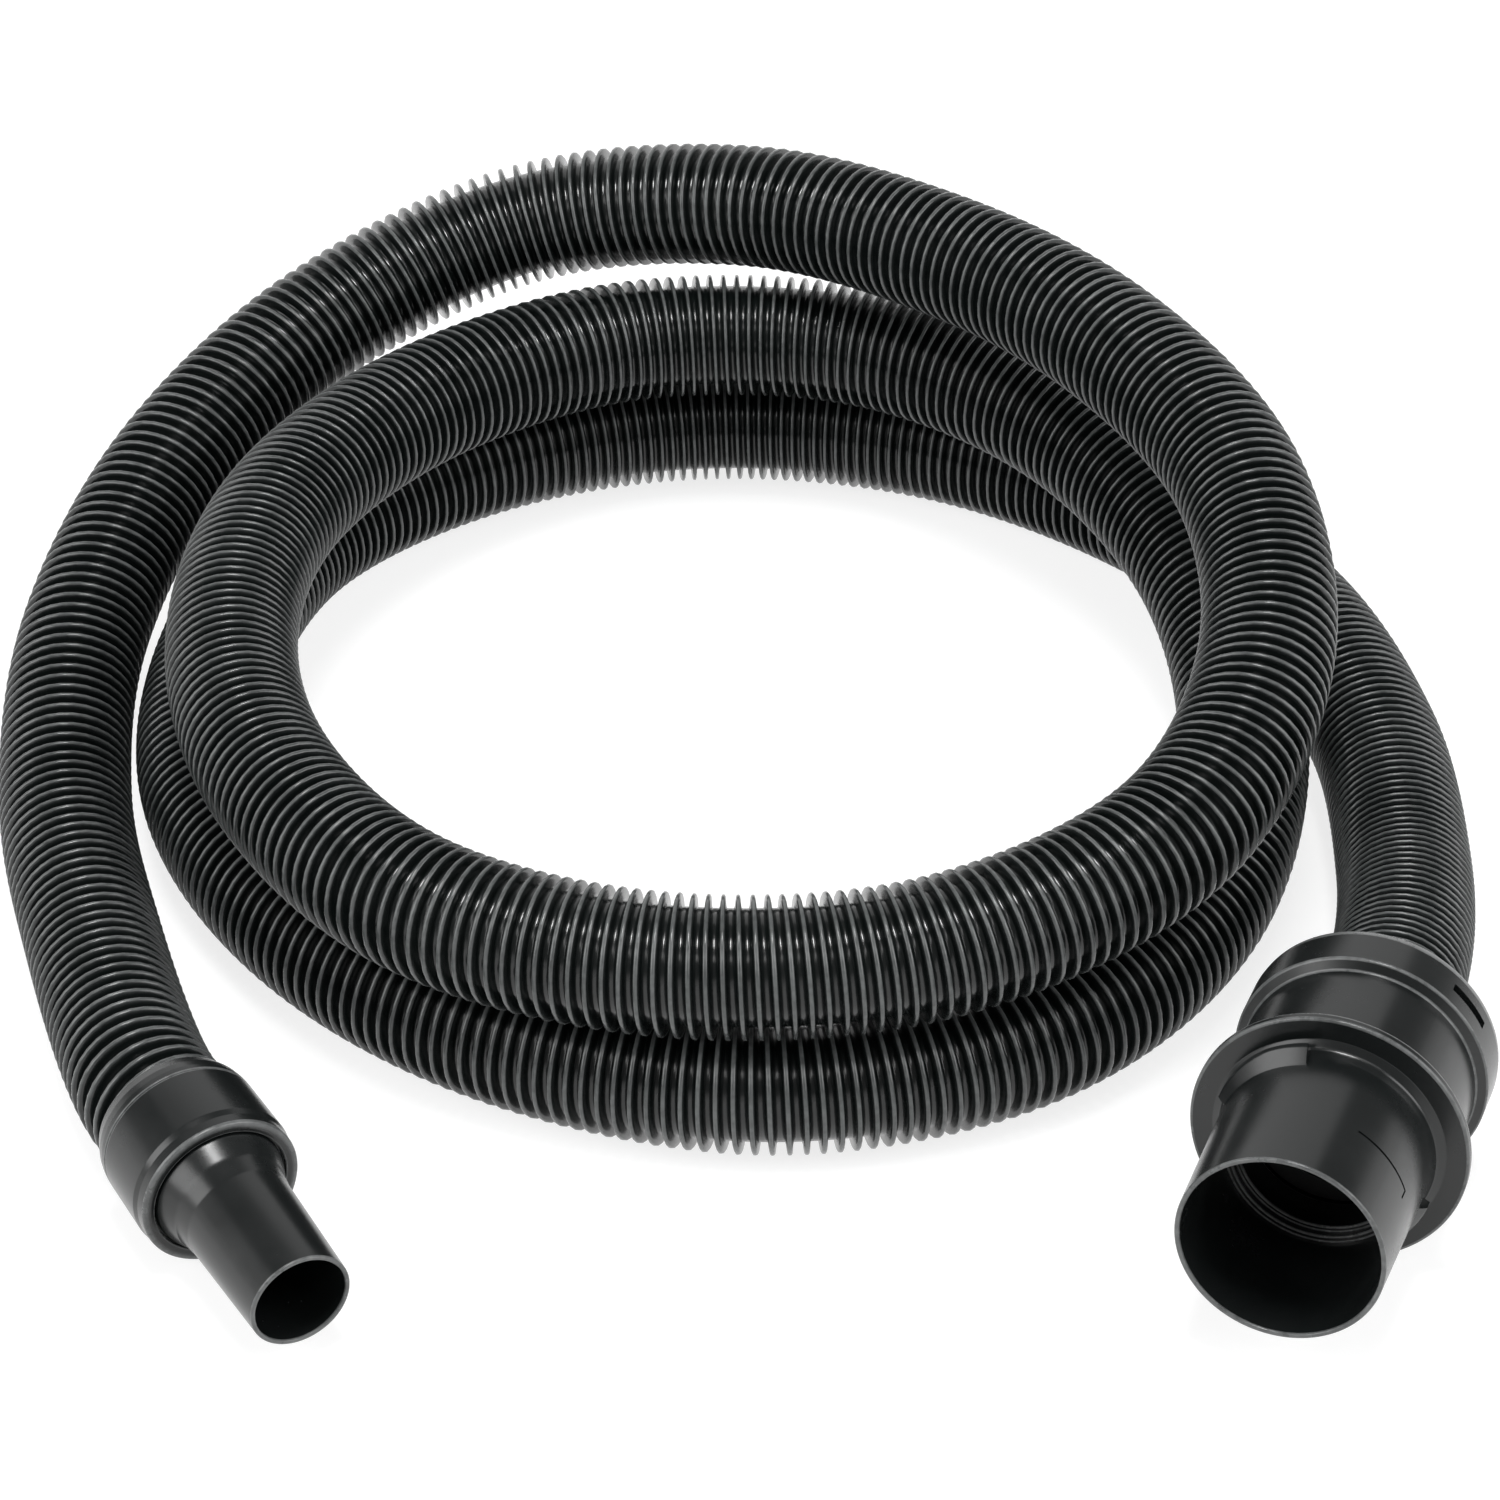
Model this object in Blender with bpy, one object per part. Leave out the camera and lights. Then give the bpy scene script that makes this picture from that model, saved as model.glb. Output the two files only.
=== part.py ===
"""Vacuum suction hose: corrugated hose laid in loops, tool cuff with nozzle, bayonet machine connector.

Units are metres, Z is up, the floor is Z = 0 and the open mouths of both fittings face -Y.
Every turned piece is drawn on its fitting's own axis, where the local +Z axis points out of the mouth.
"""

import math

import bpy
import bmesh
import numpy as np
from mathutils import Vector

MM = 0.001

# ---- hose ----
HOSE_OUTER_R = 21.5 * MM          # over the rib crests
HOSE_POINTS = 80

# ---- where the two fittings lie ----
MIDDLE = (8.9 * MM, 49.35 * MM, 0.0)         # brings the middle of the whole piece over the origin
MACHINE_MOUTH = (0.1469, -0.3057, 0.0447)   # centre of the inlet mouth
MACHINE_YAW = math.radians(-20.4)           # turned toward -X from straight -Y
MACHINE_TILT = math.radians(3.6)            # mouth raised: it rests on flange and collar
TOOL_MOUTH = (-0.1261, -0.3027, 0.0230)     # centre of the nozzle mouth
TOOL_YAW = math.radians(30.4)
TOOL_TILT = math.radians(-2.0)              # mouth lowered: the cuff is widest at the back

# ---- machine connector, distances back from the mouth and radii ----
SPIGOT_MOUTH_R = 30.3 * MM
SPIGOT_ROOT_R = 31.2 * MM
SPIGOT_BORE_R = 28.8 * MM
FILLET_FRONT = 51.0 * MM
FLANGE_FRONT = 55.2 * MM
FLANGE_THICK = 3.2 * MM
FLANGE_R = 41.2 * MM
LUG_R = 35.0 * MM
LUG_FRONT = 45.2 * MM
LUG_BACK = 52.0 * MM
LUG_ARC = math.radians(58)
LUG_STOPS = (math.radians(103), math.radians(283))   # square ends, seen from the mouth, 0 = right
COLLAR_FRONT = 58.8 * MM
COLLAR_BODY_R = 34.8 * MM
COLLAR_RING_R = 38.1 * MM
COLLAR_RING_FRONT = 92.6 * MM
COLLAR_BACK = 110.6 * MM
COLLAR_HOLE_R = 23.4 * MM
SLOT_COUNT = 2
SLOT_TURN = math.radians(41)
SLOT_BACK = 100.9 * MM
SLOT_WIDE = 3.0 * MM
SLOT_LONG = 15.0 * MM
MACHINE_HOSE_END = 62.6 * MM

# ---- tool cuff and nozzle, distances back from the nozzle mouth and radii ----
NOZZLE_MOUTH_R = 15.4 * MM
NOZZLE_WALL = 1.4 * MM
NOZZLE_ROOT_R = 16.6 * MM
NOZZLE_BELL_R = 19.4 * MM
CUFF_FRONT = 52.2 * MM
CUFF_BEAD_R = 20.8 * MM
CUFF_RIM_R = 24.6 * MM
CUFF_R = 25.1 * MM
CUFF_BACK_R = 24.7 * MM
CUFF_BACK = 79.0 * MM
END_RING_BACK = 88.0 * MM
TOOL_HOSE_END = 62.2 * MM

LATHE_STEPS = 56

# ---- hose route in millimetres, from behind the tool cuff to behind the machine connector ----
ROUTE_MM = [
    # tool end lies on the floor, then climbs the left side
    (-203, -139, 23), (-222, -59, 23), (-224, 23, 34), (-201, 101, 52), (-153, 164, 72),
    # top turn, across the back and down over the right side
    (-81, 197, 94), (-2, 181, 110), (66, 135, 116), (121, 73, 116), (158, 0, 107), (161, -80, 92),
    # second turn, front to back, lying on the bottom one
    (128, -153, 77), (58, -197, 68), (-24, -204, 66), (-100, -174, 66), (-149, -108, 66), (-168, -28, 66),
    (-156, 53, 66), (-110, 121, 66), (-40, 162, 66), (41, 157, 66), (108, 110, 62), (150, 40, 50),
    # bottom turn, flat on the floor
    (161, -40, 34), (141, -119, 23), (87, -181, 22), (9, -205, 22), (-70, -184, 22), (-135, -133, 22),
    (-175, -61, 22), (-180, 21, 22), (-156, 99, 22), (-95, 155, 22), (-17, 179, 22), (64, 166, 22),
    # machine end runs out under the stack on the right
    (133, 121, 22), (184, 55, 22), (206, -24, 22), (207, -100, 25), (200, -152, 32),
]


def clear_scene():
    for obj in list(bpy.data.objects):
        bpy.data.objects.remove(obj, do_unlink=True)


def plastic(name, color, rough):
    mat = bpy.data.materials.new(name)
    mat.use_nodes = True
    bsdf = mat.node_tree.nodes["Principled BSDF"]
    bsdf.inputs["Base Color"].default_value = (*color, 1.0)
    bsdf.inputs["Roughness"].default_value = rough
    mat.diffuse_color = (*color, 1.0)
    return mat


def add_mesh(name, verts, faces, mat, parent=None):
    mesh = bpy.data.meshes.new(name)
    mesh.from_pydata([tuple(v) for v in verts], [], faces)
    bm = bmesh.new()
    bm.from_mesh(mesh)
    bmesh.ops.recalc_face_normals(bm, faces=bm.faces)
    bm.to_mesh(mesh)
    bm.free()
    obj = bpy.data.objects.new(name, mesh)
    bpy.context.scene.collection.objects.link(obj)
    if mat is not None:
        mesh.materials.append(mat)
    obj.parent = parent
    return obj


def axis_empty(name, place, yaw, tilt):
    """An empty at a fitting's mouth, its +Z axis pointing out of the mouth along the joint axis."""
    obj = bpy.data.objects.new(name, None)
    bpy.context.scene.collection.objects.link(obj)
    obj.location = Vector(place) + Vector(MIDDLE)
    obj.rotation_euler = (math.pi / 2 - tilt, 0.0, yaw)
    obj.empty_display_size = 0.02
    return obj


def lathe(name, profile, mat, parent, steps=LATHE_STEPS):
    """Revolves a closed (radius, distance back from the mouth) outline about the local Z axis."""
    count = len(profile)
    verts = []
    for step in range(steps):
        angle = 2 * math.pi * step / steps
        for radius, back in profile:
            verts.append((radius * math.cos(angle), radius * math.sin(angle), -back))
    faces = []
    for step in range(steps):
        here, after = step * count, (step + 1) % steps * count
        for k in range(count):
            n = (k + 1) % count
            faces.append((here + k, here + n, after + n, after + k))
    return add_mesh(name, verts, faces, mat, parent)


def arc_block(name, inner, outer, front, back, start, end, parent, steps=12, tip=None):
    """A curved block from angle start to end; tip is the outer radius at the start of a ramp."""
    verts, faces = [], []
    for step in range(steps + 1):
        t = step / steps
        angle = start + (end - start) * t
        top = outer if tip is None else tip + (outer - tip) * min(1.0, t * 2.2)
        for radius, depth in ((inner, front), (top, front + (top - inner)), (top, back), (inner, back)):
            verts.append((radius * math.cos(angle), radius * math.sin(angle), -depth))
        if step:
            a, b = (step - 1) * 4, step * 4
            faces += [(a + k, a + (k + 1) % 4, b + (k + 1) % 4, b + k) for k in range(4)]
    faces += [(0, 1, 2, 3), (steps * 4 + 3, steps * 4 + 2, steps * 4 + 1, steps * 4)]
    return add_mesh(name, verts, faces, None, parent)


def box(name, size, place, turn, parent):
    x, y, z = (s / 2 for s in size)
    verts = [(i * x, j * y, k * z) for i in (-1, 1) for j in (-1, 1) for k in (-1, 1)]
    faces = [(0, 1, 3, 2), (4, 6, 7, 5), (0, 4, 5, 1), (2, 3, 7, 6), (0, 2, 6, 4), (1, 5, 7, 3)]
    obj = add_mesh(name, verts, faces, None, parent)
    obj.location = place
    obj.rotation_euler = (0.0, 0.0, turn)
    return obj


def combine(target, tool, operation):
    tool.hide_render = True
    tool.display_type = "WIRE"
    mod = target.modifiers.new(tool.name, "BOOLEAN")
    mod.operation = operation
    mod.solver = "EXACT"
    mod.object = tool


def fitting_axis(yaw, tilt):
    return Vector((math.sin(yaw) * math.cos(tilt), -math.cos(yaw) * math.cos(tilt), math.sin(tilt)))


def smooth_route(points, count):
    """A centripetal curve through the points, resampled to even spacing."""
    pts = np.array(points, float)
    pts = np.vstack([2 * pts[0] - pts[1], pts, 2 * pts[-1] - pts[-2]])
    dense = []
    for i in range(1, len(pts) - 2):
        p0, p1, p2, p3 = pts[i - 1:i + 3]
        k1, k2, k3 = (np.linalg.norm(b - a) ** 0.5 for a, b in ((p0, p1), (p1, p2), (p2, p3)))
        m1 = (p1 - p0) / k1 - (p2 - p0) / (k1 + k2) + (p2 - p1) / k2
        m2 = (p2 - p1) / k2 - (p3 - p1) / (k2 + k3) + (p3 - p2) / k3
        m1, m2 = m1 * k2, m2 * k2
        for t in np.linspace(0, 1, 24, endpoint=False):
            dense.append((2 * t**3 - 3 * t**2 + 1) * p1 + (t**3 - 2 * t**2 + t) * m1
                         + (-2 * t**3 + 3 * t**2) * p2 + (t**3 - t**2) * m2)
    dense = np.array(dense + [pts[-2]])
    run = np.r_[0, np.cumsum(np.linalg.norm(np.diff(dense, axis=0), axis=1))]
    even = np.linspace(0, run[-1], count)
    return np.stack([np.interp(even, run, dense[:, k]) for k in range(3)], axis=1)


def round_rod(name, centres, radius, mat):
    """A solid round bar swept along the centres, closed by flat caps."""
    curve = bpy.data.curves.new(name, "CURVE")
    curve.dimensions = "3D"
    curve.render_resolution_u = 0
    curve.bevel_depth = radius
    curve.bevel_resolution = 4
    curve.use_fill_caps = True
    spline = curve.splines.new("POLY")
    spline.points.add(len(centres) - 1)
    for point, centre in zip(spline.points, centres):
        point.co = (*(centre + np.array(MIDDLE)), 1.0)
    curve.materials.append(mat)
    obj = bpy.data.objects.new(name, curve)
    bpy.context.scene.collection.objects.link(obj)
    return obj


def build_hose(mat):
    axis_m = fitting_axis(MACHINE_YAW, MACHINE_TILT)
    axis_t = fitting_axis(TOOL_YAW, TOOL_TILT)
    # Both ends run dead straight inside their sleeves.
    start = [Vector(TOOL_MOUTH) - axis_t * (TOOL_HOSE_END + d) for d in (0.0, 0.022, 0.043)]
    end = [Vector(MACHINE_MOUTH) - axis_m * (MACHINE_HOSE_END + d) for d in (0.052, 0.026, 0.0)]
    points = [tuple(p) for p in start] + [tuple(c * MM for c in p) for p in ROUTE_MM] + [tuple(p) for p in end]
    return round_rod("hose_tube", smooth_route(points, HOSE_POINTS), HOSE_OUTER_R, mat)


def build_machine_connector(shell, inner_part, rubber):
    axis = axis_empty("machine_axis", MACHINE_MOUTH, MACHINE_YAW, MACHINE_TILT)

    # Inlet moulding: thin spigot, hub, round stop flange and the tail the collar snaps onto.
    bore_1, bore_2, bore_3, tail_bore = 27.8 * MM, 26.0 * MM, 24.4 * MM, 27.6 * MM
    flange_back = FLANGE_FRONT + FLANGE_THICK
    spigot = lathe("inlet_spigot", [
        (SPIGOT_BORE_R + 0.2 * MM, 0.0), (SPIGOT_MOUTH_R - 0.3 * MM, 0.0),
        (SPIGOT_MOUTH_R, 0.8 * MM), (SPIGOT_ROOT_R, FILLET_FRONT),
        (SPIGOT_ROOT_R + 0.4 * MM, FILLET_FRONT + 2.0 * MM), (SPIGOT_ROOT_R + 1.3 * MM, FLANGE_FRONT - 1.0 * MM),
        (SPIGOT_ROOT_R + 3.2 * MM, FLANGE_FRONT),
        (FLANGE_R - 1.2 * MM, FLANGE_FRONT), (FLANGE_R, FLANGE_FRONT + 1.0 * MM),
        (FLANGE_R, flange_back - 1.0 * MM), (FLANGE_R - 1.2 * MM, flange_back),
        (33.0 * MM, flange_back), (33.0 * MM, 70.0 * MM), (32.4 * MM, 70.6 * MM),
        (tail_bore, 70.6 * MM), (tail_bore, 58.4 * MM), (bore_3, 58.4 * MM),
        (bore_3, 46.6 * MM), (bore_2, 46.6 * MM), (bore_2, 44.0 * MM), (bore_1, 44.0 * MM),
    ], shell, axis)

    # Two bayonet lugs opposite each other, each a ramp that ends in a square stop.
    for k, angle in enumerate(LUG_STOPS):
        lug = arc_block(f"cut_lug_{k + 1}", SPIGOT_ROOT_R - 1.2 * MM, LUG_R, LUG_FRONT, LUG_BACK,
                        angle + LUG_ARC, angle, axis, tip=SPIGOT_ROOT_R + 0.3 * MM)
        combine(spigot, lug, "UNION")

    # Collar: plain front body, chamfer up to a wider ring, rounded back wall with the hose hole.
    collar = lathe("swivel_collar", [
        (33.5 * MM, COLLAR_FRONT), (COLLAR_BODY_R - 0.4 * MM, COLLAR_FRONT),
        (COLLAR_BODY_R, COLLAR_FRONT + 0.5 * MM), (COLLAR_BODY_R, COLLAR_RING_FRONT - 1.2 * MM),
        (COLLAR_RING_R, COLLAR_RING_FRONT + 0.6 * MM), (COLLAR_RING_R, COLLAR_BACK - 4.4 * MM),
        (COLLAR_RING_R - 0.7 * MM, COLLAR_BACK - 2.2 * MM), (COLLAR_RING_R - 2.2 * MM, COLLAR_BACK - 0.6 * MM),
        (COLLAR_RING_R - 4.0 * MM, COLLAR_BACK), (COLLAR_HOLE_R + 0.8 * MM, COLLAR_BACK),
        (COLLAR_HOLE_R, COLLAR_BACK - 0.6 * MM), (COLLAR_HOLE_R, COLLAR_BACK - 3.2 * MM),
        (34.6 * MM, COLLAR_BACK - 3.2 * MM), (34.6 * MM, COLLAR_RING_FRONT + 1.2 * MM),
        (33.5 * MM, COLLAR_RING_FRONT - 0.6 * MM),
    ], shell, axis)
    for k in range(SLOT_COUNT):
        turn = SLOT_TURN + 2 * math.pi * k / SLOT_COUNT
        place = (COLLAR_RING_R * math.cos(turn), COLLAR_RING_R * math.sin(turn), -SLOT_BACK)
        slot = box(f"cut_slot_{k + 1}", (9 * MM, SLOT_LONG, SLOT_WIDE), place, turn, axis)
        combine(collar, slot, "DIFFERENCE")

    # Ring behind the slots that locks the sleeve's shoulder against the back wall.
    lathe("snap_ring", [
        (25.6 * MM, 98.0 * MM), (34.3 * MM, 98.0 * MM), (34.3 * MM, 102.4 * MM), (25.6 * MM, 102.4 * MM),
    ], inner_part, axis)

    # Sleeve screwed on the hose; its shoulder turns freely between snap ring and back wall.
    lathe("machine_thread_sleeve", [
        (18.4 * MM, 60.6 * MM), (24.9 * MM, 60.6 * MM), (24.9 * MM, 102.8 * MM), (32.0 * MM, 102.8 * MM),
        (32.0 * MM, 107.0 * MM), (23.0 * MM, 107.0 * MM), (23.0 * MM, 110.4 * MM), (21.9 * MM, 110.4 * MM),
        (21.9 * MM, 62.2 * MM), (18.4 * MM, 62.2 * MM),
    ], inner_part, axis)

    # Round-section seal between sleeve and spigot tail.
    ring_r, cord_r, at = 26.25 * MM, 1.0 * MM, 65.0 * MM
    lathe("spigot_seal", [
        (ring_r + cord_r * math.cos(a), at + cord_r * math.sin(a))
        for a in (2 * math.pi * k / 8 for k in range(8))
    ], rubber, axis, steps=48)


def build_tool_nozzle(shell, inner_part, rubber):
    axis = axis_empty("tool_axis", TOOL_MOUTH, TOOL_YAW, TOOL_TILT)

    # Nozzle: tapered thin tube that bells out inside the cuff to a locating shoulder.
    lathe("nozzle_tube", [
        (NOZZLE_MOUTH_R - NOZZLE_WALL + 0.3 * MM, 0.0), (NOZZLE_MOUTH_R - 0.3 * MM, 0.0),
        (NOZZLE_MOUTH_R, 0.6 * MM), (NOZZLE_ROOT_R, 40.0 * MM), (NOZZLE_ROOT_R + 0.5 * MM, 44.0 * MM),
        (NOZZLE_ROOT_R + 1.3 * MM, 47.6 * MM), (NOZZLE_BELL_R - 0.6 * MM, 51.4 * MM), (NOZZLE_BELL_R, 54.9 * MM),
        (23.0 * MM, 54.9 * MM), (23.0 * MM, 58.0 * MM), (17.6 * MM, 58.0 * MM), (16.9 * MM, 53.0 * MM),
        (15.1 * MM, 43.0 * MM),
        (NOZZLE_MOUTH_R - NOZZLE_WALL, 1.0 * MM),
    ], shell, axis, steps=48)

    # Cuff: round front bead, shallow neck behind it, body that narrows a little to the back.
    lathe("tool_cuff", [
        (CUFF_BEAD_R, CUFF_FRONT + 2.0 * MM), (CUFF_BEAD_R + 0.3 * MM, CUFF_FRONT + 1.0 * MM),
        (CUFF_BEAD_R + 1.0 * MM, CUFF_FRONT + 0.3 * MM), (CUFF_BEAD_R + 1.9 * MM, CUFF_FRONT),
        (CUFF_RIM_R - 1.0 * MM, CUFF_FRONT + 0.3 * MM), (CUFF_RIM_R - 0.3 * MM, CUFF_FRONT + 1.0 * MM),
        (CUFF_RIM_R, CUFF_FRONT + 2.0 * MM), (CUFF_RIM_R - 0.1 * MM, CUFF_FRONT + 4.2 * MM),
        (CUFF_R - 0.2 * MM, CUFF_FRONT + 5.4 * MM), (CUFF_R, CUFF_FRONT + 6.6 * MM),
        (CUFF_BACK_R, CUFF_BACK), (23.4 * MM, CUFF_BACK), (23.4 * MM, CUFF_FRONT + 2.4 * MM),
        (CUFF_BEAD_R, CUFF_FRONT + 2.4 * MM),
    ], shell, axis)

    # End ring: tapers down to the hose behind a fine parting line.
    lathe("cuff_end_ring", [
        (22.0 * MM, CUFF_BACK + 0.3 * MM), (CUFF_BACK_R, CUFF_BACK + 0.3 * MM),
        (CUFF_BACK_R - 0.2 * MM, CUFF_BACK + 2.6 * MM), (CUFF_BACK_R - 0.7 * MM, CUFF_BACK + 5.2 * MM),
        (CUFF_BACK_R - 1.5 * MM, CUFF_BACK + 7.6 * MM), (CUFF_BACK_R - 2.1 * MM, END_RING_BACK),
        (22.0 * MM, END_RING_BACK),
    ], shell, axis)

    # Sleeve screwed on the hose end.
    lathe("tool_thread_sleeve", [
        (18.4 * MM, 60.2 * MM), (23.0 * MM, 60.2 * MM), (23.0 * MM, 78.9 * MM), (21.9 * MM, 78.9 * MM),
        (21.9 * MM, 61.8 * MM), (18.4 * MM, 61.8 * MM),
    ], inner_part, axis, steps=48)

    # Flat washer between the nozzle's shoulder and the sleeve.
    lathe("tool_seal", [
        (18.4 * MM, 58.3 * MM), (22.9 * MM, 58.3 * MM), (22.9 * MM, 59.9 * MM), (18.4 * MM, 59.9 * MM),
    ], rubber, axis, steps=48)


def main():
    clear_scene()
    ribbed = plastic("hose_plastic", (0.020, 0.021, 0.022), 0.35)
    shell = plastic("fitting_plastic", (0.026, 0.027, 0.028), 0.40)
    inner_part = plastic("sleeve_plastic", (0.020, 0.020, 0.020), 0.55)
    rubber = plastic("seal_rubber", (0.012, 0.012, 0.012), 0.80)
    build_hose(ribbed)
    build_machine_connector(shell, inner_part, rubber)
    build_tool_nozzle(shell, inner_part, rubber)


main()
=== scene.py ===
"""Looks of the vacuum suction hose: ribbed hose in loops, tool cuff with nozzle, bayonet connector."""

import math

import bpy
import numpy as np
from mathutils import Matrix, Vector


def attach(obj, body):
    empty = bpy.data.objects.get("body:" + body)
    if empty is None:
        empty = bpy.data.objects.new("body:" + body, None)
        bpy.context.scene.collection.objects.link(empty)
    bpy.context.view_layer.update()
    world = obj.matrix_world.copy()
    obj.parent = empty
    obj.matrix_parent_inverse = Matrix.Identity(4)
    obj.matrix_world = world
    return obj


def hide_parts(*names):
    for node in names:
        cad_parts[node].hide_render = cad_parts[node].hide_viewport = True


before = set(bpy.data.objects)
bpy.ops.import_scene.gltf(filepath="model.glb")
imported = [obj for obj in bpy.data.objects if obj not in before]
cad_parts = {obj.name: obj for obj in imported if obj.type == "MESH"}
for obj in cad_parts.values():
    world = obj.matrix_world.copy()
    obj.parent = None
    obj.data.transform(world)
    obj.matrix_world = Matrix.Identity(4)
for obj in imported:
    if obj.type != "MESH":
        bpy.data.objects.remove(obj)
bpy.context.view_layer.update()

MM = 0.001
TAU = 2 * math.pi

# ---------------------------------------------------------------- camera

CAMERA_PITCH = math.radians(35)
CAMERA_AIM = (0.0089, 0.04935, 0.0)
CAMERA_DISTANCE = 1.552
CAMERA_LENS = 110.3

camera_data = bpy.data.cameras.new("camera")
camera_data.lens = CAMERA_LENS
camera_data.sensor_width = 36.0
camera = bpy.data.objects.new("camera", camera_data)
bpy.context.scene.collection.objects.link(camera)
towards_camera = Vector((0, -math.cos(CAMERA_PITCH), math.sin(CAMERA_PITCH)))
camera.location = Vector(CAMERA_AIM) + CAMERA_DISTANCE * towards_camera
camera.rotation_euler = (math.pi / 2 - CAMERA_PITCH, 0, 0)
bpy.context.scene.camera = camera

# ---------------------------------------------------------------- materials


def new_material(name):
    mat = bpy.data.materials.new(name)
    mat.use_nodes = True
    return mat, mat.node_tree, mat.node_tree.nodes["Principled BSDF"]


def noise(tree, place, scale, detail=4.0):
    made = tree.nodes.new("ShaderNodeTexNoise")
    made.inputs["Scale"].default_value = scale
    made.inputs["Detail"].default_value = detail
    tree.links.new(place, made.inputs["Vector"])
    return made.outputs["Fac"]


def spread(tree, value, low, high, at_low=0.3, at_high=0.7):
    """Maps a value from at_low..at_high to low..high; noise stays mostly between the two defaults."""
    made = tree.nodes.new("ShaderNodeMapRange")
    for key, number in (("From Min", at_low), ("From Max", at_high), ("To Min", low), ("To Max", high)):
        made.inputs[key].default_value = number
    tree.links.new(value, made.inputs["Value"])
    return made.outputs["Result"]


def math_node(tree, operation, a, b):
    made = tree.nodes.new("ShaderNodeMath")
    made.operation = operation
    for socket, value in zip(made.inputs, (a, b)):
        if isinstance(value, (int, float)):
            socket.default_value = value
        else:
            tree.links.new(value, socket)
    return made.outputs[0]


MIX_SHARE, MIX_A, MIX_B, MIX_RESULT = 0, 6, 7, 2     # socket numbers


def blend_color(tree, share, dark, light):
    made = tree.nodes.new("ShaderNodeMix")
    made.data_type = "RGBA"
    for socket, value in ((made.inputs[MIX_A], dark), (made.inputs[MIX_B], light)):
        if isinstance(value, tuple):
            socket.default_value = (*value, 1)
        else:
            tree.links.new(value, socket)
    tree.links.new(share, made.inputs[MIX_SHARE])
    return made.outputs[MIX_RESULT]


BROAD_SCALE, FINE_SCALE = 38.0, 420.0    # mottling and its finer break-up
GLOSS_BROAD, GLOSS_FINE = 0.035, 0.012   # how far each moves the roughness
GRAIN_HEIGHT = 0.0001


def plastic_with_wear_and_sheen(name, dark, light, wear_and_sheen, rough, grain, grain_depth, edge_rough=0.1):
    """Mottled colour, uneven gloss and fine grain, paler where the "edge" attribute is 1: rubbed wear, and on
    the hose crests also a painted highlight.
    """
    mat, tree, bsdf = new_material(name)
    place = tree.nodes.new("ShaderNodeTexCoord").outputs["Object"]
    broad, fine = noise(tree, place, BROAD_SCALE), noise(tree, place, FINE_SCALE, 6.0)
    edge_node = tree.nodes.new("ShaderNodeAttribute")
    edge_node.attribute_name = "edge"
    patchy = math_node(tree, "MULTIPLY", spread(tree, fine, 0.55, 1.0), spread(tree, broad, 0.55, 1.0))
    rubbed_and_sheen = math_node(tree, "MULTIPLY", edge_node.outputs["Fac"], patchy)
    base = blend_color(tree, spread(tree, broad, 0.0, 1.0), dark, light)
    # paler colour where the edge attribute is set: rubbed wear, and on the hose crests also a painted
    # highlight
    tree.links.new(blend_color(tree, rubbed_and_sheen, base, wear_and_sheen), bsdf.inputs["Base Color"])
    gloss = math_node(tree, "ADD", spread(tree, broad, rough - GLOSS_BROAD, rough + GLOSS_BROAD),
                      spread(tree, fine, -GLOSS_FINE, GLOSS_FINE))
    gloss = math_node(tree, "ADD", gloss, math_node(tree, "MULTIPLY", rubbed_and_sheen, edge_rough))
    tree.links.new(gloss, bsdf.inputs["Roughness"])
    bump = tree.nodes.new("ShaderNodeBump")
    bump.inputs["Strength"].default_value = grain_depth
    bump.inputs["Distance"].default_value = GRAIN_HEIGHT
    tree.links.new(noise(tree, place, grain, 3.0), bump.inputs["Height"])
    tree.links.new(bump.outputs["Normal"], bsdf.inputs["Normal"])
    return mat


# last colour paints the hose crests paler: partly rubbed wear, partly a painted highlight for the crests'
# glint
HOSE_PLASTIC = plastic_with_wear_and_sheen("hose_plastic", (0.0040, 0.0056, 0.0054), (0.0066, 0.0084, 0.0082),
                            (0.095, 0.100, 0.100), rough=0.20, grain=700.0, grain_depth=0.03, edge_rough=0.03)
FITTING_PLASTIC = plastic_with_wear_and_sheen("fitting_plastic", (0.0044, 0.0054, 0.0054), (0.0072, 0.0084, 0.0084),
                               (0.125, 0.130, 0.130), rough=0.25, grain=1400.0, grain_depth=0.015,
                               edge_rough=0.06)
SLEEVE_PLASTIC = plastic_with_wear_and_sheen("sleeve_plastic", (0.009, 0.009, 0.009), (0.016, 0.016, 0.016),
                              (0.04, 0.04, 0.04), rough=0.5, grain=1200.0, grain_depth=0.3)
SEAL_RUBBER = plastic_with_wear_and_sheen("seal_rubber", (0.007, 0.007, 0.007), (0.013, 0.013, 0.013),
                           (0.03, 0.03, 0.03), rough=0.78, grain=900.0, grain_depth=0.5)

# ---------------------------------------------------------------- hose

# Places of the fittings and the route of the hose, from the tool end to the machine end.
MIDDLE = Vector((8.9, 49.35, 0.0)) * MM
MACHINE_MOUTH = Vector((0.1469, -0.3057, 0.0447)) + MIDDLE
MACHINE_YAW, MACHINE_TILT = math.radians(-20.4), math.radians(3.6)
TOOL_MOUTH = Vector((-0.1261, -0.3027, 0.0230)) + MIDDLE
TOOL_YAW, TOOL_TILT = math.radians(30.4), math.radians(-2.0)
MACHINE_HOSE_END = 62.6 * MM
TOOL_HOSE_END = 62.2 * MM
# The hose leaves each fitting along its axis: distances in metres from the end of the hose.
TOOL_STRAIGHT, MACHINE_STRAIGHT = (0.0, 0.022, 0.043), (0.052, 0.026, 0.0)
CURVE_STEPS = 48          # between two points of the route
SAMPLES = 3400            # even samples along the whole hose

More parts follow.
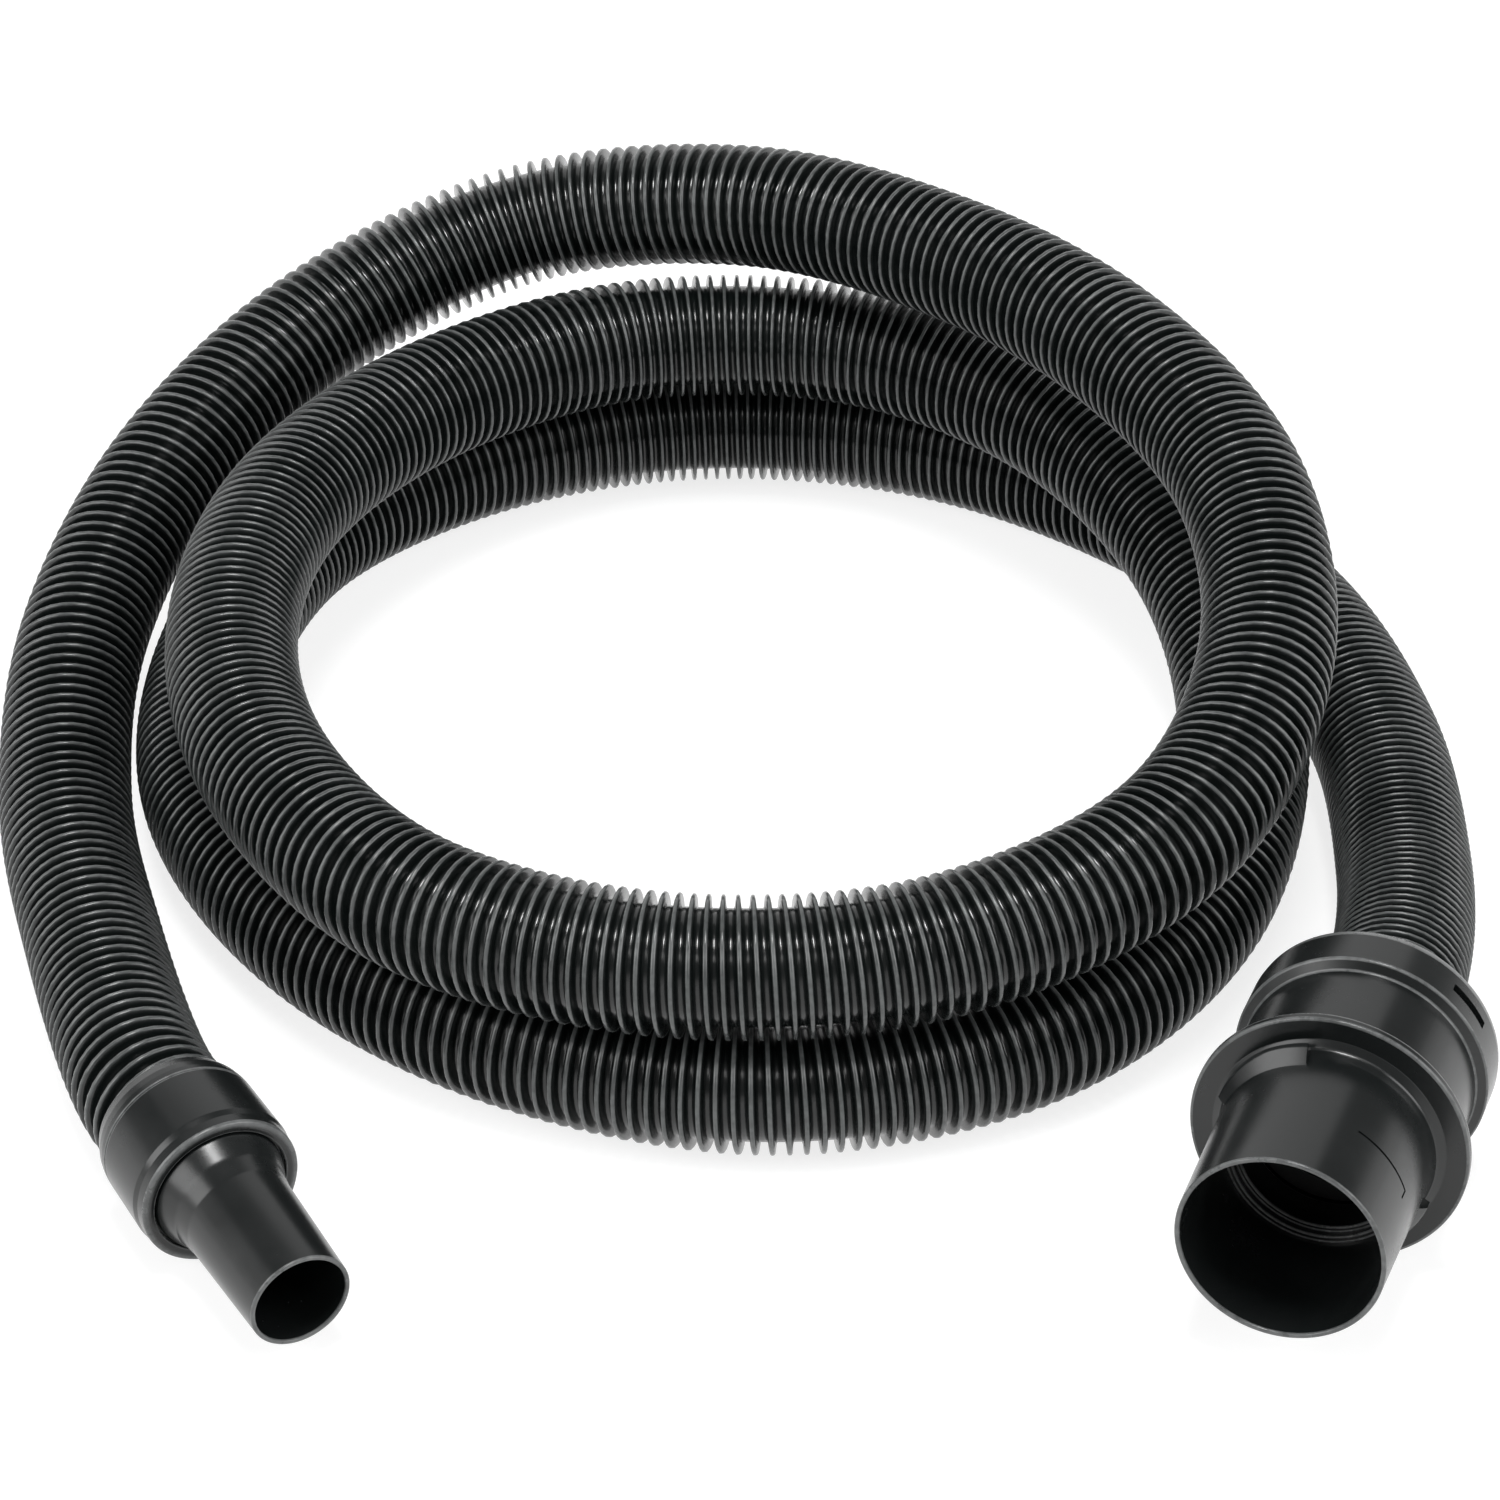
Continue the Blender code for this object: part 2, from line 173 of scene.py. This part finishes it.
ROUTE_MM = [
    # tool end lies on the floor, then climbs the left side
    (-203, -139, 23), (-222, -59, 23), (-224, 23, 34), (-201, 101, 52), (-153, 164, 72),
    # top turn, across the back and down over the right side
    (-81, 197, 94), (-2, 181, 110), (66, 135, 116), (121, 73, 116), (158, 0, 107), (161, -80, 92),
    # second turn, front to back, lying on the bottom one
    (128, -153, 77), (58, -197, 68), (-24, -204, 66), (-100, -174, 66), (-149, -108, 66), (-168, -28, 66),
    (-156, 53, 66), (-110, 121, 66), (-40, 162, 66), (41, 157, 66), (108, 110, 62), (150, 40, 50),
    # bottom turn, flat on the floor
    (161, -40, 34), (141, -119, 23), (87, -181, 22), (9, -205, 22), (-70, -184, 22), (-135, -133, 22),
    (-175, -61, 22), (-180, 21, 22), (-156, 99, 22), (-95, 155, 22), (-17, 179, 22), (64, 166, 22),
    # machine end runs out under the stack on the right
    (133, 121, 22), (184, 55, 22), (206, -24, 22), (207, -100, 25), (200, -152, 32),
]


def fitting_axis(yaw, tilt):
    return Vector((math.sin(yaw) * math.cos(tilt), -math.cos(yaw) * math.cos(tilt), math.sin(tilt)))


def smooth_route(points):
    """A centripetal curve through the points, and the run along it."""
    pts = np.array(points, float)
    pts = np.vstack([2 * pts[0] - pts[1], pts, 2 * pts[-1] - pts[-2]])
    dense = []
    for i in range(1, len(pts) - 2):
        p0, p1, p2, p3 = pts[i - 1:i + 3]
        k1, k2, k3 = (np.linalg.norm(b - a) ** 0.5 for a, b in ((p0, p1), (p1, p2), (p2, p3)))
        m1 = (p1 - p0) / k1 - (p2 - p0) / (k1 + k2) + (p2 - p1) / k2
        m2 = (p2 - p1) / k2 - (p3 - p1) / (k2 + k3) + (p3 - p2) / k3
        m1, m2 = m1 * k2, m2 * k2
        for t in np.linspace(0, 1, CURVE_STEPS, endpoint=False):
            dense.append((2 * t**3 - 3 * t**2 + 1) * p1 + (t**3 - 2 * t**2 + t) * m1
                         + (-2 * t**3 + 3 * t**2) * p2 + (t**3 - t**2) * m2)
    dense = np.array(dense + [pts[-2]])
    run = np.r_[0, np.cumsum(np.linalg.norm(np.diff(dense, axis=0), axis=1))]
    return dense, run


axis_m, axis_t = fitting_axis(MACHINE_YAW, MACHINE_TILT), fitting_axis(TOOL_YAW, TOOL_TILT)
start = [TOOL_MOUTH - axis_t * (TOOL_HOSE_END + d) for d in TOOL_STRAIGHT]
end = [MACHINE_MOUTH - axis_m * (MACHINE_HOSE_END + d) for d in MACHINE_STRAIGHT]
middle_points = [Vector(c) * MM + MIDDLE for c in ROUTE_MM]
route, route_run = smooth_route([tuple(p) for p in start + middle_points + end])
HOSE_LENGTH = route_run[-1]

# Even samples with a frame that doesn't twist along the run.
sample_run = np.linspace(0, HOSE_LENGTH, SAMPLES)
centre = np.stack([np.interp(sample_run, route_run, route[:, k]) for k in range(3)], axis=1)
tangent = np.gradient(centre, axis=0)
tangent /= np.linalg.norm(tangent, axis=1)[:, None]
normal = np.zeros_like(tangent)
n = np.cross(tangent[0], (0, 0, 1.0))
for i in range(SAMPLES):
    n = n - tangent[i] * (n @ tangent[i])
    n /= np.linalg.norm(n)
    normal[i] = n
binormal = np.cross(tangent, normal)


def at_run(values, s):
    return np.stack([np.interp(s, sample_run, values[:, k]) for k in range(3)], axis=-1)


CREST_R, VALLEY_R, BORE_R = 21.5 * MM, 17.4 * MM, 16.6 * MM
# Rib spacing along the run: share of the length, millimetres. The ribs are stretched or packed by the bends.
SPACING = [(0.0, 4.9), (0.06, 5.1), (0.15, 5.0), (0.3, 4.6), (0.5, 4.6), (0.8, 4.6), (0.93, 4.2), (1.0, 3.6)]
AROUND = 32               # points round the hose
BORE_RINGS = 320
CREST_WEAR_AND_SHEEN_FROM, CREST_WEAR_AND_SHEEN_OVER = 0.85, 0.12     # shares of a rib's height: painted paler from here up, fully after so much; rubbed wear plus a painted highlight for the crests' glint
# One rib across: share of the spacing, height above the valley as a share of the rib's height.
RIB = [(0.0, 1.0), (0.09, 0.98), (0.15, 0.87), (0.185, 0.58), (0.215, 0.2), (0.28, 0.02),
       (0.72, 0.02), (0.785, 0.2), (0.815, 0.58), (0.85, 0.87), (0.91, 0.98)]


def ring_points(s, theta, radius):
    """Points round the run at s, theta and radius; the three broadcast together."""
    s, theta, radius = np.broadcast_arrays(s, theta, radius)
    c, nn, bb = (at_run(v, s) for v in (centre, normal, binormal))
    return c + radius[..., None] * (np.cos(theta)[..., None] * nn + np.sin(theta)[..., None] * bb)


def add_piece(name, verts, faces, edge, mat):
    """A smooth-shaded mesh object with its paler marks stored in the "edge" attribute: wear, and on the hose
    crests also a painted highlight.
    """
    mesh = bpy.data.meshes.new(name)
    mesh.from_pydata(verts.tolist(), [], faces)
    mesh.shade_smooth()
    mesh.materials.append(mat)
    mesh.attributes.new("edge", "FLOAT", "POINT").data.foreach_set("value", np.asarray(edge, np.float32))
    obj = bpy.data.objects.new(name, mesh)
    bpy.context.scene.collection.objects.link(obj)
    return obj


def build_hose():
    """Helical ribs outside, a plain bore inside, closed by a lip at both ends."""
    spacing = np.interp(sample_run / HOSE_LENGTH, *zip(*SPACING)) * MM
    turn_at = np.r_[0, np.cumsum(np.diff(sample_run) / spacing[1:])]
    turns = int(turn_at[-1]) - 1
    rows, cols = turns * AROUND, len(RIB)
    k = np.arange(rows + 1)[:, None]
    share, height = (np.array(values) for values in zip(*RIB))
    s = np.interp(k / AROUND + share[None, :], turn_at, sample_run)
    outer = ring_points(s, TAU * k / AROUND, VALLEY_R + (CREST_R - VALLEY_R) * height[None, :])
    bore_s = np.linspace(s[AROUND // 2, 0], s[rows - AROUND // 2, -1], BORE_RINGS)[:, None]
    bore = ring_points(bore_s, TAU * np.arange(AROUND)[None, :] / AROUND, BORE_R)
    verts = np.vstack([outer.reshape(-1, 3), bore.reshape(-1, 3)])
    index = np.arange((rows + 1) * cols).reshape(rows + 1, cols)
    a, b = index[:-1], index[1:]
    across = np.stack([a[:, :-1], a[:, 1:], b[:, 1:], b[:, :-1]], axis=-1).reshape(-1, 4)
    # the last column joins the first column one turn later
    last, after = index[:rows + 1 - AROUND, -1], index[AROUND:, 0]
    seam = np.stack([last[:-1], after[:-1], after[1:], last[1:]], axis=-1)
    inside = (rows + 1) * cols + np.arange(BORE_RINGS * AROUND).reshape(BORE_RINGS, AROUND)
    turned = np.roll(inside, -1, axis=1)
    wall = np.stack([inside[:-1], turned[:-1], turned[1:], inside[1:]], axis=-1).reshape(-1, 4)
    faces = np.vstack([across, seam, wall]).tolist()
    first, final = index[:AROUND + 1, 0], index[rows - AROUND:, -1]
    for i in range(AROUND):
        n = (i + 1) % AROUND
        faces.append([int(v) for v in (first[i], first[i + 1], inside[0, n], inside[0, i])])
        faces.append([int(v) for v in (final[i + 1], final[i], inside[-1, i], inside[-1, n])])
    faces.append([int(v) for v in (inside[0, 0], first[-1], *index[0, ::-1])])
    faces.append([int(v) for v in (inside[-1, 0], final[0], *index[rows])])
    faces = [face[::-1] for face in faces]      # so that they face outward
    # crest tops painted paler: rubbed wear and a painted highlight for their glint
    wear_and_sheen = np.clip((height - CREST_WEAR_AND_SHEEN_FROM) / CREST_WEAR_AND_SHEEN_OVER, 0, 1)
    edge = np.r_[np.broadcast_to(wear_and_sheen, (rows + 1, cols)).ravel(), np.zeros(BORE_RINGS * AROUND)]
    return add_piece("hose", verts, faces, edge, HOSE_PLASTIC)


hose = build_hose()
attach(hose, "hose")
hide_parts("hose_tube")

# ---------------------------------------------------------------- turned fittings

STEPS = 176                           # round each fitting
FLAT_TURN = 0.02                      # radians; a gentler corner gets no fillet
WORN_CORNER = 2.35                    # radians; a more open corner isn't rubbed
LONGEST_FILLET = 0.46                 # share of a side that a fillet may take
SHARP_EDGE = math.radians(40)
# Sizes of the fittings are in millimetres and degrees: radius, distance back from the mouth, and angle from
# the right over the top.
OUTER_SIDE = 30.0                     # the outside of spigot and collar lies beyond this radius


def rounded(corners, support=0.25, bend=5):
    """Fillets the corners of a closed outline of (radius, back, fillet) in mm: rows of radius, back, edge."""
    pts = np.array([c[:2] for c in corners], float)
    out, count = [], len(pts)
    for i in range(count):
        here, fillet = pts[i], corners[i][2]
        to_last, to_next = pts[i - 1] - here, pts[(i + 1) % count] - here
        len_a, len_b = np.linalg.norm(to_last), np.linalg.norm(to_next)
        ua, ub = to_last / len_a, to_next / len_b
        angle = math.acos(max(-1.0, min(1.0, float(ua @ ub))))
        reach = min(fillet / max(math.tan(angle / 2), 1e-6), LONGEST_FILLET * len_a, LONGEST_FILLET * len_b)
        if fillet == 0 or math.pi - angle < FLAT_TURN:
            out.append((*here, 0.0))
            continue
        start, stop = here + ua * reach, here + ub * reach
        if len_a * 0.5 > reach + support:
            out.append((*(start + ua * support), 0.0))
        for t in np.linspace(0, 1, bend):
            p = (1 - t) ** 2 * start + 2 * t * (1 - t) * here + t ** 2 * stop
            out.append((*p, 1.0 if angle < WORN_CORNER else 0.0))
        if len_b * 0.5 > reach + support:
            out.append((*(stop + ub * support), 0.0))
    return np.array(out)


def with_lines(values, lines):
    """Sorted grid values with extra lines put in."""
    return np.unique(np.round(np.r_[values, lines], 6))


def turned_piece(name, outline, axis_place, yaw, tilt, shape=None, turns=()):
    """Revolves an outline about a fitting's axis; shape(radius, back, theta) carves or raises it locally."""
    theta = with_lines(np.linspace(0, 360, STEPS, endpoint=False), np.array(turns, float) % 360)
    angle = np.radians(theta)[:, None]
    radius = np.broadcast_to(outline[None, :, 0], (len(theta), len(outline))).copy()
    back = np.broadcast_to(outline[None, :, 1], radius.shape)
    if shape:
        radius = shape(radius, back, np.broadcast_to(theta[:, None], radius.shape))
    local = np.stack([radius * np.cos(angle), radius * np.sin(angle), -back], axis=-1) * MM
    turn = np.array(Matrix.Rotation(yaw, 3, "Z") @ Matrix.Rotation(math.pi / 2 - tilt, 3, "X"))
    verts = local.reshape(-1, 3) @ turn.T + np.array(axis_place)
    grid = np.arange(radius.size).reshape(radius.shape)
    side, up = np.roll(grid, -1, axis=1), np.roll(grid, -1, axis=0)
    faces = np.stack([grid, side, np.roll(side, -1, axis=0), up], axis=-1).reshape(-1, 4).tolist()
    edge = np.broadcast_to(outline[None, :, 2], radius.shape).ravel()
    obj = add_piece(name, verts, faces, edge, FITTING_PLASTIC)
    obj.data.set_sharp_from_angle(angle=SHARP_EDGE)
    return obj


def dense_between(outline, low, high, count):
    """Adds outline points between two distances back, on the outer side only."""
    apart = 0.02
    out = []
    for i, here in enumerate(outline):
        out.append(tuple(here))
        after = outline[(i + 1) % len(outline)]
        is_outer = min(here[0], after[0]) > OUTER_SIDE and here[1] < after[1]
        if is_outer and after[1] > low and here[1] < high:
            marks = [m for m in np.linspace(low, high, count) if here[1] + apart < m < after[1] - apart]
            for m in marks:
                t = (m - here[1]) / (after[1] - here[1])
                out.append((here[0] + (after[0] - here[0]) * t, m, 0.0))
    return np.array(out)


# Bayonet lugs: a long ramp round the spigot up to a square stop, with a groove between it and the flange.
LUG_STOPS, LUG_ARC, LUG_FRONT, LUG_BACK = (103.0, 283.0), 58.0, 46.2, 52.0
LUG_TOP, LUG_FOOT, LUG_NOSE = 35.0, 31.4, 31.1   # radii: full height, foot, bevelled front edge
LUG_TIP, LUG_RISE = 0.6, 1.6                     # share of the height at the low end; steepness of the ramp
# Fine moulded line on the spigot, hooked towards the mouth at its lower end.
MARK_BACK, MARK_FROM, MARK_TO, MARK_HOOK, MARK_DEEP = 25.0, 21.0, 63.0, 21.5, 0.5
MARK_HALF_WIDE, MARK_HALF_ARC = 0.36, 0.66
SHAPED_FROM, SHAPED_TO = 2.0, 54.0    # the stretch of spigot that carries lugs and line


def spigot_shape(radius, back, theta):
    outer = (radius > OUTER_SIDE) & (back > SHAPED_FROM) & (back < SHAPED_TO)
    made = radius.copy()
    for stop in LUG_STOPS:
        along = (theta - stop) % 360
        on = (along >= 0) & (along <= LUG_ARC) & (back <= LUG_BACK) & (back >= LUG_FRONT)
        ramp = LUG_TIP + (1 - LUG_TIP) * np.clip((LUG_ARC - along) / LUG_ARC * LUG_RISE, 0, 1)
        top = np.minimum(LUG_FOOT + (LUG_TOP - LUG_FOOT) * ramp, LUG_NOSE + (back - LUG_FRONT))
        made = np.where(outer & on, np.maximum(made, top), made)
    line = (np.abs(back - MARK_BACK) < MARK_HALF_WIDE) & (theta >= MARK_FROM) & (theta <= MARK_TO)
    hook = np.abs(theta - MARK_FROM) < MARK_HALF_ARC
    hook &= (back >= MARK_HOOK) & (back <= MARK_BACK + MARK_HALF_WIDE)
    return np.where(outer & (line | hook), made - MARK_DEEP, made)


# Slots round the collar's ring.
SLOT_TURNS, SLOT_BACK, SLOT_HALF_WIDE, SLOT_HALF_ARC, SLOT_FLOOR = (41.0, 221.0), 100.9, 1.6, 11.3, 34.9
RING_OUTSIDE = 37.0                   # the outside of the ring lies beyond this radius


def slot_shape(radius, back, theta):
    cut = np.zeros(radius.shape, bool)
    for turn in SLOT_TURNS:
        off = np.abs((theta - turn + 180) % 360 - 180)
        cut |= (off < SLOT_HALF_ARC) & (np.abs(back - SLOT_BACK) < SLOT_HALF_WIDE) & (radius > RING_OUTSIDE)
    return np.where(cut, SLOT_FLOOR, radius)


spigot_line = rounded([
    (28.8, 0.0, 0.7), (30.3, 0.0, 0.7), (31.2, 50.6, 2.0), (31.9, 53.6, 1.6), (34.4, 55.2, 0.6),
    (41.2, 55.2, 0.8), (41.2, 58.4, 0.8), (33.0, 58.4, 0.2), (33.0, 70.6, 0.5), (27.6, 70.6, 0.3),
    (27.6, 58.4, 0.2), (24.4, 58.4, 0.2), (24.4, 46.6, 0.5), (26.0, 46.6, 0.3), (26.0, 44.0, 0.5),
    (27.8, 44.0, 0.3),
])
spigot_line = dense_between(spigot_line, 45.0, 53.0, 34)
spigot_line = dense_between(spigot_line, MARK_HOOK - 0.4, MARK_HOOK, 3)
spigot_line = dense_between(spigot_line, MARK_BACK - 0.42, MARK_BACK + 0.42, 13)
spigot_line = dense_between(spigot_line, 2.0, 44.0, 43)
lug_lines = [stop + d for stop in LUG_STOPS for d in (-0.25, 0.0, 0.6, LUG_ARC, LUG_ARC + 0.5)]
mark_lines = [MARK_FROM + d for d in (-0.9, -0.66, -0.6, 0.6, 0.66, 0.9)] + [MARK_TO, MARK_TO + 0.2]
spigot = turned_piece("spigot_shell", spigot_line, MACHINE_MOUTH, MACHINE_YAW, MACHINE_TILT,
                      spigot_shape, lug_lines + mark_lines)
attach(spigot, "machine_connector")
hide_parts("inlet_spigot")

collar_line = rounded([
    (33.5, 58.8, 0.3), (34.8, 58.8, 0.6), (34.8, 91.4, 0.7), (38.1, 93.2, 0.9), (38.1, 110.6, 4.2),
    (23.4, 110.6, 0.7), (23.4, 107.4, 0.4), (34.6, 107.4, 0.6), (34.6, 93.8, 0.4), (33.5, 92.0, 0.4),
])
collar_line = dense_between(collar_line, SLOT_BACK - 1.62, SLOT_BACK + 1.62, 28)
slot_lines = [turn + side * (SLOT_HALF_ARC + d)
              for turn in SLOT_TURNS for side in (-1, 1) for d in (-0.1, 0.05, 0.4)]
collar = turned_piece("collar_shell", collar_line, MACHINE_MOUTH, MACHINE_YAW, MACHINE_TILT,
                      slot_shape, slot_lines)
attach(collar, "machine_connector")
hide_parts("swivel_collar")

nozzle_line = rounded([
    (14.0, 0.0, 0.65), (15.4, 0.0, 0.65), (16.6, 39.5, 6.0), (17.6, 46.0, 6.0), (20.1, 52.4, 1.2),
    (20.3, 54.9, 0.2), (23.0, 54.9, 0.2), (23.0, 58.0, 0.2), (17.6, 58.0, 0.3), (16.9, 53.0, 2.0),
    (15.1, 43.0, 3.0),
])
nozzle = turned_piece("nozzle_shell", nozzle_line, TOOL_MOUTH, TOOL_YAW, TOOL_TILT)
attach(nozzle, "tool_nozzle")
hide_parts("nozzle_tube")

cuff_line = rounded([
    (20.8, 54.6, 0.2), (20.8, 52.6, 0.5), (22.2, 52.2, 0.6), (24.6, 52.2, 1.7), (24.6, 56.4, 0.3),
    (25.1, 58.4, 0.7), (24.7, 79.0, 0.4), (23.4, 79.0, 0.1), (23.4, 54.6, 0.1),
])
cuff = turned_piece("cuff_shell", cuff_line, TOOL_MOUTH, TOOL_YAW, TOOL_TILT)
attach(cuff, "tool_nozzle")
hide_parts("tool_cuff")

end_ring_line = rounded([
    (22.0, 79.3, 0.1), (24.7, 79.3, 0.4), (24.5, 81.6, 1.5), (24.0, 84.2, 2.0), (22.6, 88.0, 0.5),
    (22.0, 88.0, 0.2),
])
end_ring = turned_piece("end_ring_shell", end_ring_line, TOOL_MOUTH, TOOL_YAW, TOOL_TILT)
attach(end_ring, "tool_nozzle")
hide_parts("cuff_end_ring")

# Sleeves, snap ring and seals, inside the fittings.
INNER = {"snap_ring": SLEEVE_PLASTIC, "machine_thread_sleeve": SLEEVE_PLASTIC,
         "tool_thread_sleeve": SLEEVE_PLASTIC, "spigot_seal": SEAL_RUBBER, "tool_seal": SEAL_RUBBER}
for name, mat in INNER.items():
    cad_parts[name].data.materials.clear()
    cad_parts[name].data.materials.append(mat)

# ---------------------------------------------------------------- floor and light

FLOOR_SIZE = 12                       # metres
FLOOR_GREY, FLOOR_GLOW = 0.28, 0.8
bpy.ops.mesh.primitive_plane_add(size=FLOOR_SIZE, location=(0, 0, 0))
floor = bpy.context.object
floor.name = "floor"
mat, tree, bsdf = new_material("floor_white")
bsdf.inputs["Base Color"].default_value = (FLOOR_GREY, FLOOR_GREY, FLOOR_GREY, 1)
bsdf.inputs["Roughness"].default_value = 0.9
bsdf.inputs["Emission Color"].default_value = (1, 1, 1, 1)
bsdf.inputs["Emission Strength"].default_value = FLOOR_GLOW
floor.data.materials.append(mat)


def softbox(name, azimuth, elevation, wide, tall, radiance, distance=3.0):
    """A soft panel seen from the origin at these angles in degrees; azimuth runs from +Y clockwise to +X."""
    az, el = math.radians(azimuth), math.radians(elevation)
    data = bpy.data.lights.new(name, "AREA")
    data.shape = "RECTANGLE"
    data.size = 2 * distance * math.tan(math.radians(wide) / 2)
    data.size_y = 2 * distance * math.tan(math.radians(tall) / 2)
    data.energy = radiance * math.pi * data.size * data.size_y
    light = bpy.data.objects.new(name, data)
    bpy.context.scene.collection.objects.link(light)
    away = Vector((math.sin(az) * math.cos(el), math.cos(az) * math.cos(el), math.sin(el)))
    light.location = away * distance
    light.rotation_euler = (-away).to_track_quat("-Z", "Y").to_euler()


softbox("rear_panel", -8.5, 30, 73, 44, 0.75)
softbox("left_panel", -112, 31, 42, 34, 4.2)
softbox("right_panel", 112, 31, 42, 34, 4.2)
softbox("front_panel", 180, 53, 36, 10, 3.0)
softbox("key_panel", 180, 81, 14, 14, 36.0)

# The room is white along the horizon and dim above it.
WHITE_TO, DIM_FROM, DIM = math.radians(8), math.radians(15), 0.2
world = bpy.data.worlds.new("world")
world.use_nodes = True
sky = world.node_tree
background = sky.nodes["Background"]
background.inputs["Color"].default_value = (1, 1, 1, 1)
height = sky.nodes.new("ShaderNodeSeparateXYZ")
sky.links.new(sky.nodes.new("ShaderNodeTexCoord").outputs["Generated"], height.inputs[0])
sky.links.new(spread(sky, height.outputs["Z"], 1.0, DIM, math.sin(WHITE_TO), math.sin(DIM_FROM)),
              background.inputs["Strength"])
bpy.context.scene.world = world
bpy.context.scene.view_settings.view_transform = "Standard"
